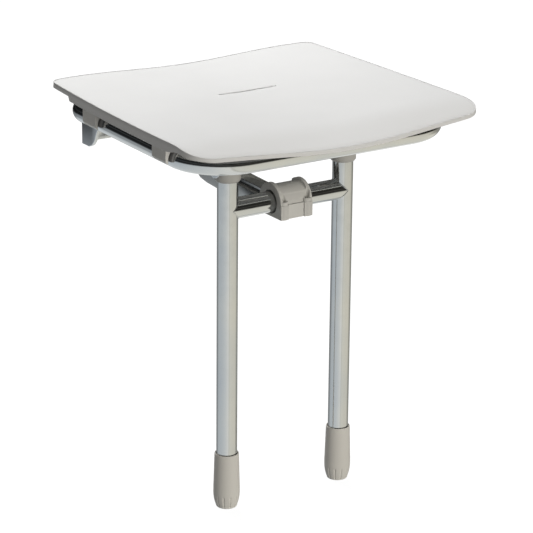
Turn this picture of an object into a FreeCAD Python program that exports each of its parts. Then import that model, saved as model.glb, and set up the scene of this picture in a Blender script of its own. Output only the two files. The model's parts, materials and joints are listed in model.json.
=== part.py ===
import FreeCAD, Part
import Sketcher
import math
import os

# Wall-mounted folding shower seat with two support legs that fold themselves away.
#
# Frame: origin at the centre of the four wall-fixing holes, on the wall plane.
# +X is the sitter's left-to-right, +Y points into the wall, +Z is up.  Millimetres.
# Rest pose: seat down, legs upright, feet on the floor.

os.makedirs("parts", exist_ok=True)
doc = FreeCAD.newDocument("fold_up_shower_seat")
V = FreeCAD.Vector
X_AXIS, Y_AXIS, Z_AXIS = V(1, 0, 0), V(0, 1, 0), V(0, 0, 1)

# ---------------------------------------------------------------- driving dimensions
DIMENSIONS = [
    # round tube of the frame and legs
    ("tube_radius", 12.5, "outer radius of every frame and leg tube"),
    ("tube_wall", 1.5, "wall thickness of the tube"),
    # heights above the origin
    ("frame_rise", 35.5, "axis of the seat frame's tube above the wall fixings"),
    ("crossbar_drop", 53.2, "axis of the legs' crossbar below the leg pivots"),
    ("floor_drop", 428.0, "floor below the wall fixings"),
    # distances out from the wall
    ("hinge_reach", 46.0, "seat hinge axis from the wall"),
    ("leg_reach", 248.0, "leg plane from the wall"),
    ("ring_reach", 339.4, "front tube of the seat frame from the wall"),
    # seat frame
    ("ring_half_width", 170.6, "side tube axis from the middle"),
    ("front_bend", 58.0, "centre-line radius of the front bends"),
    ("rear_bend", 30.0, "centre-line radius of the rear bends"),
    ("ring_slope", 0.0115, "fall of the ring towards the front, per mm"),
    # legs
    ("leg_half_gap", 81.0, "leg axis from the middle"),
    ("pivot_radius", 4.0, "leg pivot pin"),
    ("cap_radius", 15.6, "collar of the leg cap"),
    ("cap_drop", 17.7, "lower edge of the collar below the leg pivot"),
    ("cheek_gap", 16.4, "inner face of a hanger cheek from the leg axis"),
    ("cheek_wall", 3.0, "thickness of a hanger cheek"),
    # feet
    ("foot_height", 69.6, "rim of the foot above the floor"),
    ("foot_rim_radius", 14.7, "foot at its rim"),
    ("foot_belly_radius", 16.0, "foot at its widest"),
    ("foot_bore_radius", 13.2, "socket that slides on the leg tube"),
    ("spindle_radius", 5.0, "threaded spindle inside the foot"),
    # wall bracket
    ("plate_half_width", 130.4, "wall plate, middle to end"),
    ("plate_wall", 4.0, "thickness of wall plate and lugs"),
    ("plate_top", 24.0, "upper edge of the wall plate"),
    ("plate_drop", 24.0, "lower edge of the wall plate"),
    ("fixing_half_span", 95.0, "fixing hole from the middle"),
    ("fixing_half_rise", 13.0, "fixing hole above and below the origin"),
    ("fixing_radius", 4.25, "fixing hole"),
    ("ear_wall", 4.6, "thickness of a hinge ear"),
    ("ear_radius", 19.0, "head of a hinge ear"),
    ("ear_drop", 26.5, "lower end of a hinge ear"),
    ("bush_wall", 2.5, "wall of the hinge bush"),
    ("bush_flange", 18.0, "radius of the hinge bush's flange"),
    ("running_gap", 0.05, "radial clearance of the hinge fits"),
    # link arm
    ("link_half_width", 17.0, "lower box of the link arm"),
    ("link_rib_half_width", 10.0, "raised rib of the link arm"),
    ("boss_radius", 15.0, "rear boss of the link arm"),
    ("boss_half_width", 19.5, "rear boss, middle to end"),
    ("lug_gap", 21.0, "inner face of a link lug from the middle"),
    ("lug_radius", 12.0, "head of a link lug"),
    ("bolt_radius", 5.0, "link pivot bolt"),
    ("clamp_half_width", 22.0, "crossbar clamp, middle to end"),
    ("clamp_body_radius", 20.0, "clamp between its flanges"),
    ("clamp_flange_radius", 23.0, "end flanges of the clamp"),
    ("clamp_flange_wall", 4.5, "thickness of the end flanges"),
    ("clamp_drop", 17.2, "flat bottom of the clamp below the crossbar"),
    ("column_rise", 4.5, "top of the clamp's screw columns above its split"),
    ("clamp_bore_radius", 14.4, "clamp bore"),
    ("clamp_liner_radius", 13.0, "bore of the clamp's liner, 0.5 clear of the crossbar"),
    # seat clips
    ("clip_half_length", 15.0, "clip along the side tube"),
    ("clip_bore_radius", 16.2, "clip bore"),
    ("clip_outer", 19.5, "outer face of a clip from the side tube's axis"),
    ("clip_screw_inset", 25.6, "clip screws inboard of the side tube's axis"),
    ("liner_radius", 14.8, "outside of the clip's liner"),
    ("liner_show", 3.5, "liner past the front end of its clip"),
    ("front_clip_reach", 276.0, "front clips from the wall"),
    ("rear_clip_reach", 117.5, "rear clips from the wall"),
    # seat shell
    ("seat_rear_gap", 19.0, "rear edge of the seat from the wall"),
    ("seat_reach", 385.0, "front lip of the seat from the wall"),
    ("seat_rear_half", 187.0, "half width at the rear edge"),
    ("seat_front_half", 199.0, "half width at the front corners"),
    ("seat_skin", 4.5, "thickness of the seat skin"),
    ("rear_corner", 10.0, "corners of the seat at the wall"),
    ("front_corner", 33.0, "corners of the seat at the front"),
    ("seat_rim", 7.4, "depth of the rim at the sides and the rear"),
    ("seat_lip", 4.8, "depth of the rim along the front"),
    ("seat_skirt", 12.8, "depth of the side skirts"),
    ("slot_half_length", 41.0, "drain slot, middle to end"),
    ("slot_half_width", 1.5, "drain slot, half its width"),
    ("slot_reach", 163.0, "drain slot from the wall"),
]

sheet = doc.addObject("Spreadsheet::Sheet", "dimensions")
for row, (alias, value, meaning) in enumerate(DIMENSIONS, start=1):
    sheet.set(f"A{row}", meaning)
    sheet.set(f"B{row}", str(value))
    sheet.setAlias(f"B{row}", alias)
doc.recompute()


class Sizes:
    """The sheet's cells as plain numbers, for shapes that no expression can drive."""

    def __getattr__(self, alias):
        return float(sheet.get(alias))


size = Sizes()
SIDES = (("left", -1), ("right", 1))
nodes = []


# ---------------------------------------------------------------- helpers
def cells(expression):
    """Write an expression in sheet aliases: every bare word becomes a cell of the sheet."""
    words, word = [], ""
    for character in str(expression) + " ":
        if character.isalpha() or character == "_":
            word += character
            continue
        words.append("dimensions." + word if word else "")
        words.append(character)
        word = ""
    return "".join(words).strip()


def bind(target, **expressions):
    """Drive properties by sheet cells; x, y and z drive the placement."""
    for name, expression in expressions.items():
        path = f".Placement.Base.{name}" if name in ("x", "y", "z") else name
        target.setExpression(path, cells(expression))
    return target


def turned(target, axis, angle):
    target.Placement = FreeCAD.Placement(target.Placement.Base, FreeCAD.Rotation(axis, angle))
    return target


def box(name, x, y, z, length, width, height):
    solid = doc.addObject("Part::Box", name)
    return bind(solid, x=x, y=y, z=z, Length=length, Width=width, Height=height)


def rod(name, axis, radius, length, x="0", y="0", z="0", angle="360"):
    """A cylinder along X or Z that starts at the given point."""
    solid = doc.addObject("Part::Cylinder", name)
    if axis == "X":
        turned(solid, Y_AXIS, 90)
    return bind(solid, Radius=radius, Height=length, Angle=angle, x=x, y=y, z=z)


def fuse(name, *solids):
    joined = doc.addObject("Part::MultiFuse", name)
    joined.Shapes = list(solids)
    joined.Refine = True
    return joined


def cut(name, base, *tools):
    tool = tools[0] if len(tools) == 1 else fuse(name + "_tools", *tools)
    remainder = doc.addObject("Part::Cut", name)
    remainder.Base = base
    remainder.Tool = tool
    remainder.Refine = True
    return remainder


def common(name, first, second):
    shared = doc.addObject("Part::Common", name)
    shared.Base = first
    shared.Tool = second
    return shared


def node(solid, label, **position):
    """Name a finished sub-part, and put it where the position expressions say."""
    bind(solid, **position)
    solid.Label = label
    nodes.append(solid)
    return solid


def origin_plane(body, role):
    return next(plane for plane in body.Origin.OriginFeatures if plane.Role == role)


def sketch_on(body, name, role):
    sketch = body.newObject("Sketcher::SketchObject", name)
    sketch.AttachmentSupport = [(origin_plane(body, role), "")]
    sketch.MapMode = "FlatFace"
    return sketch


def value_of(expression):
    """The number an expression has now, so that geometry starts near its solution."""
    return float(sheet.evalExpression(cells(expression)))


def outline(body, name, role, corners):
    """A closed polygon sketch whose corners are sheet expressions."""
    sketch = sketch_on(body, name, role)
    points = [V(value_of(x), value_of(y), 0) for x, y in corners]
    for index, start in enumerate(points):
        sketch.addGeometry(Part.LineSegment(start, points[(index + 1) % len(points)]), False)
    for index in range(len(points)):
        following = (index + 1) % len(points)
        sketch.addConstraint(Sketcher.Constraint("Coincident", index, 2, following, 1))
    for index, (x, y) in enumerate(corners):
        held = [("DistanceX", x, points[index].x), ("DistanceY", y, points[index].y)]
        for kind, expression, now in held:
            number = sketch.addConstraint(Sketcher.Constraint(kind, -1, 1, index, 1, now))
            sketch.setExpression(f"Constraints[{number}]", cells(expression))
    return sketch


def circles(body, name, role, centres, radius):
    """Circles of one radius at centres given as sheet expressions."""
    sketch = sketch_on(body, name, role)
    for index, (x, y) in enumerate(centres):
        centre = V(value_of(x), value_of(y), 0)
        sketch.addGeometry(Part.Circle(centre, Z_AXIS, value_of(radius)), False)
        number = sketch.addConstraint(Sketcher.Constraint("Radius", index, value_of(radius)))
        sketch.setExpression(f"Constraints[{number}]", cells(radius))
        for kind, expression, now in (("DistanceX", x, centre.x), ("DistanceY", y, centre.y)):
            number = sketch.addConstraint(Sketcher.Constraint(kind, -1, 1, index, 3, now))
            sketch.setExpression(f"Constraints[{number}]", cells(expression))
    return sketch


def pad(body, sketch, length, symmetric=False):
    feature = body.newObject("PartDesign::Pad", sketch.Name + "_pad")
    feature.Profile = sketch
    feature.setExpression("Length", cells(length))
    feature.SideType = "Symmetric" if symmetric else "One side"
    return feature


def drill(body, sketch):
    """Cut a sketch right through the body, both ways, and prove that it cut."""
    doc.recompute()
    before = body.Shape.Volume
    feature = body.newObject("PartDesign::Pocket", sketch.Name + "_pocket")
    feature.Profile = sketch
    feature.Type = "ThroughAll"
    feature.SideType = "Symmetric"
    doc.recompute()
    if not body.Shape.Volume < before - 1:
        raise RuntimeError(f"{feature.Name} cuts nothing")
    return feature


def revolved(name, profile):
    """A body turned about Z from a profile of (radius, height) expressions."""
    body = doc.addObject("PartDesign::Body", name + "_body")
    sketch = outline(body, name + "_profile", "XZ_Plane", profile)
    feature = body.newObject("PartDesign::Revolution", name + "_turning")
    feature.Profile = sketch
    feature.ReferenceAxis = (sketch, ["V_Axis"])
    feature.Angle = 360
    return body


# ---------------------------------------------------------------- wall bracket
def wall_plate():
    """Back plate between the two ears, with four fixing holes."""
    body = doc.addObject("PartDesign::Body", "wall_plate_body")
    ends = ("-plate_half_width", "plate_half_width")
    corners = [(ends[0], "-plate_drop"), (ends[1], "-plate_drop")]
    corners += [(ends[1], "plate_top"), (ends[0], "plate_top")]
    pad(body, outline(body, "wall_plate_outline", "XZ_Plane", corners), "plate_wall")
    holes = [(x, z) for x in ("-fixing_half_span", "fixing_half_span")
             for z in ("-fixing_half_rise", "fixing_half_rise")]
    drill(body, circles(body, "fixing_holes", "XZ_Plane", holes, "fixing_radius"))
    node(body, "wall_plate")


def hinge_ear(side, sign):
    """Plate that stands out from the wall and carries one end of the seat hinge."""
    body = doc.addObject("PartDesign::Body", f"hinge_ear_{side}_body")
    profile = [("0", "-ear_drop"), ("0", "4"), ("-hinge_reach + 22", "4"), ("-hinge_reach + 17", "14"),
               ("-hinge_reach + 18.5", "frame_rise - 4"), ("-hinge_reach", "frame_rise"),
               ("-hinge_reach - 13", "frame_rise"), ("-hinge_reach + 10", "-6"),
               ("-hinge_reach + 15", "-16.5"), ("-hinge_reach + 21", "-23"), ("-17", "-ear_drop")]
    web = outline(body, f"hinge_ear_{side}_web", "YZ_Plane", profile)
    pad(body, web, "ear_wall", symmetric=True)
    axis = [("-hinge_reach", "frame_rise")]
    head = circles(body, f"hinge_ear_{side}_head", "YZ_Plane", axis, "ear_radius")
    pad(body, head, "ear_wall", symmetric=True)
    bore = circles(body, f"hinge_ear_{side}_bore", "YZ_Plane", axis, "tube_radius + bush_wall")
    drill(body, bore)
    node(body, f"hinge_ear_{side}", x=f"{sign} * (plate_half_width + ear_wall / 2)")


def hinge_bush(side, sign):
    """Nylon bush that the seat frame's rear tube turns in; its flange is inboard."""
    start = "plate_half_width - 2"
    sleeve = rod(f"hinge_bush_{side}_sleeve", "X", "tube_radius + bush_wall", "ear_wall + 2", start)
    flange = rod(f"hinge_bush_{side}_flange", "X", "bush_flange", "2", start)
    bore = rod(f"hinge_bush_{side}_bore", "X", "tube_radius + running_gap", "ear_wall + 4",
               "plate_half_width - 3")
    bush = cut(f"hinge_bush_{side}_turned", fuse(f"hinge_bush_{side}_blank", sleeve, flange), bore)
    if sign < 0:
        turned(bush, Z_AXIS, 180)
    node(bush, f"hinge_bush_{side}", y="-hinge_reach", z="frame_rise")


def link_lug(side, sign):
    """Lug on the wall plate that carries the link arm's rear pivot."""
    body = doc.addObject("PartDesign::Body", f"link_lug_{side}_body")
    drop = "frame_rise - crossbar_drop"
    profile = [("-plate_wall", "-plate_drop"), ("-plate_wall", "14"), ("-hinge_reach + 7", f"{drop} + 9.7")]
    profile += [("-hinge_reach", f"{drop} - lug_radius")]
    web = outline(body, f"link_lug_{side}_web", "YZ_Plane", profile)
    pad(body, web, "plate_wall", symmetric=True)
    axis = [("-hinge_reach", drop)]
    head = circles(body, f"link_lug_{side}_head", "YZ_Plane", axis, "lug_radius")
    pad(body, head, "plate_wall", symmetric=True)
    drill(body, circles(body, f"link_lug_{side}_bore", "YZ_Plane", axis, "bolt_radius"))
    node(body, f"link_lug_{side}", x=f"{sign} * (lug_gap + plate_wall / 2)")


def link_bolt():
    """Bolt of the link arm's rear pivot, with its self-locking nut."""
    outer = "lug_gap + plate_wall"
    shank = rod("bolt_shank", "X", "bolt_radius", f"2 * ({outer}) + 8", f"-({outer})")
    head = hexagon("bolt_head", "8.5", "6", f"-({outer}) - 6")
    rear = {"y": "-hinge_reach", "z": "frame_rise - crossbar_drop"}
    node(fuse("link_bolt_solid", shank, head), "link_pivot_bolt", **rear)
    nut = hexagon("nut_blank", "8.5", "7", outer)
    bore = rod("nut_bore", "X", "bolt_radius", "20", f"{outer} - 1")
    node(cut("nut_solid", nut, bore), "link_pivot_nut", **rear)


def hexagon(name, radius, length, x):
    """Hexagon prism along X."""
    prism = doc.addObject("Part::Prism", name)
    prism.Polygon = 6
    turned(prism, Y_AXIS, 90)
    return bind(prism, Circumradius=radius, Height=length, x=x)


# ---------------------------------------------------------------- seat frame
def ring_path():
    """Centre line of the ring, a rectangle with four round bends, from the middle of its rear run."""
    depth = size.ring_reach - size.hinge_reach
    bends = ((1, -size.rear_bend, size.rear_bend, 90), (1, size.front_bend - depth, size.front_bend, 0),
             (-1, size.front_bend - depth, size.front_bend, -90), (-1, -size.rear_bend, size.rear_bend, 180))
    edges, last = [], V()
    for sign, y, radius, heading in bends:
        centre = V(sign * (size.ring_half_width - radius), y, 0)
        turns = [math.radians(heading - turn) for turn in (0, 45, 90)]
        start, middle, end = [centre + V(math.cos(a), math.sin(a), 0) * radius for a in turns]
        edges += [Part.LineSegment(last, start).toShape(), Part.Arc(start, middle, end).toShape()]
        last = end
    edges.append(Part.LineSegment(last, V()).toShape())
    return Part.Wire(edges)


def ring_rod(name, radius):
    """Solid rod of one radius along the ring's centre line."""
    section = Part.Wire([Part.Circle(V(), X_AXIS, radius).toShape()])
    swept = doc.addObject("Part::Feature", name)
    swept.Shape = ring_path().makePipeShell([section], True, False)
    return swept


def ring_tilt():
    """Angle in degrees by which the ring falls towards the front."""
    return math.degrees(math.atan(size.ring_slope))


def ring_height(reach):
    """Expression for the height of the side tubes' axis at a distance from the wall."""
    return f"(frame_rise - ({reach} - hinge_reach) * ring_slope)"


def seat_frame():
    """Bent ring of tube under the seat; its rear run is the hinge shaft."""
    outer = ring_rod("ring_outer", size.tube_radius)
    inner = ring_rod("ring_inner", size.tube_radius - size.tube_wall)
    drains = [rod(f"ring_drain_{side}", "Z", "2.5", "tube_radius", f"{sign} * 110",
                  "-(ring_reach - hinge_reach)", "-tube_radius - 1") for side, sign in SIDES]
    ring = cut("ring_hollow", outer, inner, *drains)
    turned(ring, X_AXIS, ring_tilt())
    node(ring, "seat_frame", y="-hinge_reach", z="frame_rise")


def cross_tube():
    """Tube across the ring over the legs, coped to the side tubes."""
    reach = "ring_half_width - tube_radius / 2"
    outer = rod("cross_outer", "X", "tube_radius", f"2 * ({reach})", f"-({reach})")
    inner = rod("cross_inner", "X", "tube_radius - tube_wall", "2 * ring_half_width",
                "-ring_half_width")
    node(cut("cross_coped", outer, inner, *side_runs("cross_cope")), "cross_tube",
         y="-leg_reach", z=ring_height("leg_reach"))


def side_runs(name):
    """Solid rods where the side tubes pass the cross tube, to cope it against them."""
    runs = []
    for side, sign in SIDES:
        run = doc.addObject("Part::Cylinder", f"{name}_{side}")
        turned(run, X_AXIS, 90 + ring_tilt())
        bind(run, Radius="tube_radius", Height="100", x=f"{sign} * ring_half_width", y="50",
             z="50 * ring_slope")
        runs.append(run)
    return runs


def leg_hanger(side, sign):
    """Channel welded under the cross tube; its two cheeks hold the leg pivot pin."""
    label = f"leg_hanger_{side}"
    cross_rise = ring_height("leg_reach")
    web_low = f"{cross_rise} - tube_radius - 2.5"
    width = "cheek_gap + cheek_wall"
    blank = box(label + "_blank", f"-({width})", "-12", "0", f"2 * ({width})", "24", f"{web_low} + 5.5")
    gap = box(label + "_gap", "-cheek_gap", "-13", "-1", "2 * cheek_gap", "26", f"{web_low} + 1")
    ends = []
    for end in (-1, 1):
        start = f"{end} * (cheek_gap + cheek_wall / 2) - cheek_wall / 2"
        ends.append(rod(f"{label}_end_{end + 1}", "X", "12", "cheek_wall", start))
    saddle = rod(label + "_saddle", "X", "tube_radius", "60", "-30", "0", cross_rise)
    pin = rod(label + "_bore", "X", "pivot_radius", "60", "-30")
    channel = fuse(label + "_rounded", cut(label + "_channel", blank, gap), *ends)
    hanger = cut(label + "_drilled", channel, saddle, pin)
    node(hanger, label, x=f"{sign} * leg_half_gap", y="-leg_reach")


def leg_pivot_pin(side, sign):
    """Riveted pin through the hanger's cheeks and the leg cap."""
    label = f"leg_pivot_pin_{side}"
    outer = "cheek_gap + cheek_wall"
    shank = rod(label + "_shank", "X", "pivot_radius", f"2 * ({outer})", f"-({outer})")
    heads = [rod(f"{label}_head_{end}", "X", "6.5", "2", start)
             for end, start in enumerate((f"-({outer}) - 2", outer))]
    node(fuse(label + "_riveted", shank, *heads), label, x=f"{sign} * leg_half_gap", y="-leg_reach")


# ---------------------------------------------------------------- seat shell
def seat_half_width(y):
    """Half width of the seat; y is negative, out from the wall."""
    taper = size.seat_front_half - size.seat_rear_half
    front = -338.0
    depth = -size.seat_rear_gap - front
    return size.seat_front_half - taper * (max(0.0, y - front) / depth) ** 2


def seat_height(x, y):
    """Top surface: a saddle across the seat, and a front edge that rolls down."""
    roll_start, roll_width, roll_slope = -318.0, 34.0, 0.235
    crest = 155.0
    across = min(abs(x), crest) / crest
    along = max(0.0, (y - roll_start) / 300.0)
    middle = 57.4 + 3.1 * along ** 1.5
    saddle = (5.6 - 0.7 * along) * (1 - math.cos(math.pi * across)) / 2
    edge = (1.0 + 0.8 * along) * (max(0.0, abs(x) - crest) / 40.0) ** 2
    past = roll_start - y
    if past <= 0:
        roll = 0.0
    elif past < roll_width:
        roll = past ** 2 / (2 * roll_width)
    else:
        roll = past - roll_width / 2
    return middle + saddle - edge - roll_slope * roll * (1 + 0.12 * across)


def seat_surface():
    """Smooth face through the seat's heights, a little larger than the seat."""
    columns = [20 * i for i in range(-11, 12)]
    rows = [-405 + 15 * j for j in range(28)]
    grid = [[V(x, y, seat_height(x, y)) for y in rows] for x in columns]
    surface = Part.BSplineSurface()
    surface.interpolate(grid)
    return surface.toShape()


def seat_plan(inset):
    """The seat's outline seen from above, as a flat face pulled in by inset."""
    rear = -size.seat_rear_gap - inset
    rear_corner, front_corner = size.rear_corner - inset, size.front_corner - inset
    side_start, side_end = rear - rear_corner, -338.0
    steps = [side_start + (side_end - side_start) * i / 6 for i in range(7)]
    right = Part.BSplineCurve()
    right.interpolate([V(seat_half_width(y) - inset, y, 0) for y in steps])
    left = Part.BSplineCurve()
    left.interpolate([V(inset - seat_half_width(y), y, 0) for y in reversed(steps)])
    front_lip = -size.seat_reach + inset
    lip_half = size.seat_front_half - inset - front_corner + 2
    lip_side = front_lip + 13.0
    half = size.seat_rear_half - inset - rear_corner + 1.5
    front = Part.Arc(V(lip_half, lip_side, 0), V(0, front_lip, 0), V(-lip_half, lip_side, 0))
    corners = [
        blend_curve(V(half, rear, 0), V(1, 0, 0), right.value(right.FirstParameter),
                    right.tangent(right.FirstParameter)[0]),
        blend_curve(right.value(right.LastParameter), right.tangent(right.LastParameter)[0],
                    V(lip_half, lip_side, 0), V(-1, -0.14, 0)),
        blend_curve(V(-lip_half, lip_side, 0), V(-1, 0.14, 0), left.value(left.FirstParameter),
                    left.tangent(left.FirstParameter)[0]),
        blend_curve(left.value(left.LastParameter), left.tangent(left.LastParameter)[0],
                    V(-half, rear, 0), V(1, 0, 0)),
    ]
    back = Part.LineSegment(V(-half, rear, 0), V(half, rear, 0))
    pieces = [back, corners[0], right, corners[1], front, corners[2], left, corners[3]]
    return Part.Face(Part.Wire([piece.toShape() for piece in pieces]))


def blend_curve(start, start_way, end, end_way):
    """Round corner from one point and heading to another, as a cubic Bezier curve."""
    reach = start.distanceToPoint(end) * 0.39
    curve = Part.BezierCurve()
    first = start + start_way.normalize() * reach
    second = end - end_way.normalize() * reach
    curve.setPoles([start, first, second, end])
    return curve


def slab(surface, drop, depth):
    """The layer that starts drop below the seat's surface and is depth thick."""
    lowered = surface.copy()
    lowered.translate(V(0, 0, -drop))
    return lowered.extrude(V(0, 0, -depth))


def side_view_prism(corners):
    """Block right across the seat whose (y, z) outline is given."""
    points = [V(-250, y, z) for y, z in corners]
    return Part.Face(Part.makePolygon(points + points[:1])).extrude(V(500, 0, 0))


def seat_ribs(surface):
    """Straight stiffening ribs, with their tops buried in the skin."""
    thickness, rear, front, half = 2.4, -60.0, -296.0, 165.0
    bars = [Part.makeBox(thickness, rear - front, 100, V(x - thickness / 2, front, 0))
            for x in (-120, -60, 60, 120)]
    bars += [Part.makeBox(2 * half, thickness, 100, V(-half, y, 0)) for y in (-290, -206, -122, -66)]
    return [bar.common(slab(surface, 2, 6)) for bar in bars]


def drain_slot():
    """Tool for the round-ended drain slot."""
    reach = size.slot_half_length - size.slot_half_width
    radius = size.slot_half_width
    corner = V(-reach, -size.slot_reach - radius, 0)
    ends = [Part.makeCylinder(radius, 100, V(x, -size.slot_reach, 0)) for x in (-reach, reach)]
    return Part.makeBox(2 * reach, 2 * radius, 100, corner).fuse(ends).removeSplitter()


def seat_shell():
    """Moulded seat: a skin with a rim, side skirts, ribs underneath and a drain slot."""
    surface = seat_surface()
    tall = V(0, 0, 100)
    wall = 4.0
    body = seat_plan(0).extrude(tall).common(slab(surface, 0, size.seat_skirt))
    body = body.cut(seat_plan(wall).extrude(tall).common(slab(surface, size.seat_skin, 30)))
    below_rim = slab(surface, size.seat_rim, 30)
    front_trim = side_view_prism([(-420, 30), (-270, 30), (-342, 58), (-420, 58)])
    rear_trim = side_view_prism([(0, 30), (-70, 30), (-69, 62), (0, 62)])
    lip_trim = side_view_prism([(-420, 20), (-353, 20), (-365, 62), (-420, 62)])
    body = body.cut([front_trim.common(below_rim), rear_trim.common(below_rim),
                     lip_trim.common(slab(surface, size.seat_lip, 30))])
    bosses = [Part.makeCylinder(4.5, 30, V(x, y, clip_top())).common(slab(surface, 2, 30))
              for x, y in clip_screw_places()]
    body = body.fuse(seat_ribs(surface) + bosses)
    holes = [Part.makeCylinder(1.8, 6.0, V(x, y, clip_top() - 0.5)) for x, y in clip_screw_places()]
    body = body.cut(holes + [drain_slot()]).removeSplitter()
    feature = doc.addObject("Part::Feature", "seat_shell_solid")
    feature.Shape = Part.Solid(body.Shells[0])
    node(feature, "seat_shell")


# ---------------------------------------------------------------- seat clips
CLIPS = [(f"{end}_{side}", sign, end) for end in ("front", "rear") for side, sign in SIDES]


def clip_top():
    """Upper face of the clips' screw flange."""
    return 54.0


def clip_screw_places():
    """Two screws in the inboard flange of every clip."""
    places = []
    for _name, sign, end in CLIPS:
        reach = size.front_clip_reach if end == "front" else size.rear_clip_reach
        for along in (-10, 10):
            places.append((sign * (size.ring_half_width - size.clip_screw_inset), -reach + along))
    return places


def seat_clip(name, sign, end):
    """Block under the seat's side that snaps over the side tube."""
    label = f"seat_clip_{name}"
    body = doc.addObject("PartDesign::Body", label + "_body")
    outer = "clip_outer"
    reach = f"{end}_clip_reach"
    top = f"{clip_top()} - {ring_height(reach)}"
    step = f"{top} - 5.3"
    profile = [(outer, "-0.5"), (outer, step), (f"{outer} - 5", step), (f"{outer} - 5", top),
               ("-30", top), ("-30", f"{top} - 3"), ("-21", f"{top} - 3"),
               ("-21", "-8"), ("-15", "-13"), ("-8", "-13"), ("clip_bore_radius + 0.6", "-4")]
    profile = [(f"{sign} * ({x})", z) for x, z in profile]
    block = outline(body, label + "_profile", "XZ_Plane", profile)
    pad(body, block, "2 * clip_half_length", symmetric=True)
    drill(body, circles(body, label + "_bore", "XZ_Plane", [("0", "0")], "clip_bore_radius"))
    screws = [(f"{-sign} * clip_screw_inset", along) for along in ("-10", "10")]
    drill(body, circles(body, label + "_screws", "XY_Plane", screws, "1.8"))
    node(body, label, x=f"{sign} * ring_half_width", y=f"-{reach}", z=ring_height(reach))


def clip_liner(name, sign, end):
    """Nylon half sleeve between a clip and the top of the tube, which shows past the clip's front."""
    label = f"clip_liner_{name}"
    start = f"hinge_reach - {end}_clip_reach - clip_half_length - liner_show"
    length = "2 * clip_half_length + liner_show - 1"
    middle = f"{sign} * ring_half_width"
    skin = cut(label + "_skin", ring_rod(label + "_outer", size.liner_radius),
               ring_rod(label + "_inner", size.tube_radius))
    window = box(label + "_window", f"{middle} - 20", start, "-1", "40", length, "21")
    sleeve = common(label + "_sleeve", skin, window)
    turned(sleeve, X_AXIS, ring_tilt())
    node(sleeve, label, y="-hinge_reach", z="frame_rise")


def clip_screws():
    """Eight screws that hold the clips to the seat's bosses."""
    screws = []
    for index, (x, y) in enumerate(clip_screw_places()):
        z = clip_top() - 3
        shank = rod(f"clip_screw_{index}_shank", "Z", "1.8", "8", f"{x}", f"{y}", f"{z}")
        head = rod(f"clip_screw_{index}_head", "Z", "3.6", "2.2", f"{x}", f"{y}", f"{z} - 2.2")
        screws.append(fuse(f"clip_screw_{index}", shank, head))
    group = doc.addObject("Part::Compound", "clip_screw_group")
    group.Links = screws
    node(group, "clip_screws")


# ---------------------------------------------------------------- legs
def leg_tube(side, sign):
    """Upright tube, open below for the foot, plugged above by its cap; coped for the crossbar."""
    label = f"leg_tube_{side}"
    low = "-floor_drop + 22"
    outer = rod(label + "_outer", "Z", "tube_radius", f"floor_drop - 22 - 9", "0", "0", low)
    inner = rod(label + "_inner", "Z", "tube_radius - tube_wall", "floor_drop", "0", "0",
                "-floor_drop")
    node(cut(label + "_hollow", outer, inner), label, x=f"{sign} * leg_half_gap", y="-leg_reach")


def crossbar():
    """Tube between the legs that the link arm's clamp runs round, coped at both ends."""
    outer = rod("crossbar_outer", "X", "tube_radius", "2 * leg_half_gap", "-leg_half_gap")
    inner = rod("crossbar_inner", "X", "tube_radius - tube_wall", "2 * leg_half_gap + 4",
                "-leg_half_gap - 2")
    copes = [rod(f"crossbar_cope_{side}", "Z", "tube_radius", "60", f"{sign} * leg_half_gap",
                 "0", "-30") for side, sign in SIDES]
    node(cut("crossbar_coped", outer, inner, *copes), "crossbar",
         y="-leg_reach", z="-crossbar_drop")


def leg_cap(side, sign):
    """Plastic head of a leg: plug in the tube, collar over it, and a rounded pivot eye."""
    label = f"leg_cap_{side}"
    core = "tube_radius - tube_wall"
    profile = [("0", "-34"), (core, "-34"), (core, "-9"), ("tube_radius", "-9"),
               ("tube_radius", "-cap_drop"), ("cap_radius - 1.6", "-cap_drop"),
               ("cap_radius", "-cap_drop + 2.2"), ("cap_radius", "15"), ("0", "15")]
    stem = revolved(label, profile)
    crown = rod(label + "_crown", "X", "15", "40", "-20")
    shank = box(label + "_shank", "-20", "-20", "-40", "40", "40", "40")
    head = common(label + "_head", stem, fuse(label + "_envelope", crown, shank))
    bore = rod(label + "_bore", "X", "pivot_radius + running_gap", "60", "-30")
    node(cut(label + "_drilled", head, bore), label, x=f"{sign} * leg_half_gap", y="-leg_reach")


def foot_nut(side, sign):
    """Threaded plug pressed into the leg's lower end, for the foot's spindle."""
    label = f"foot_nut_{side}"
    core = "tube_radius - tube_wall"
    bore = "spindle_radius + 0.3"
    profile = [(bore, "20"), ("tube_radius", "20"), ("tube_radius", "22"), (core, "22"),
               (core, "44"), (bore, "44")]
    node(revolved(label, profile), label, x=f"{sign} * leg_half_gap", y="-leg_reach",
         z="-floor_drop")


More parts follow.
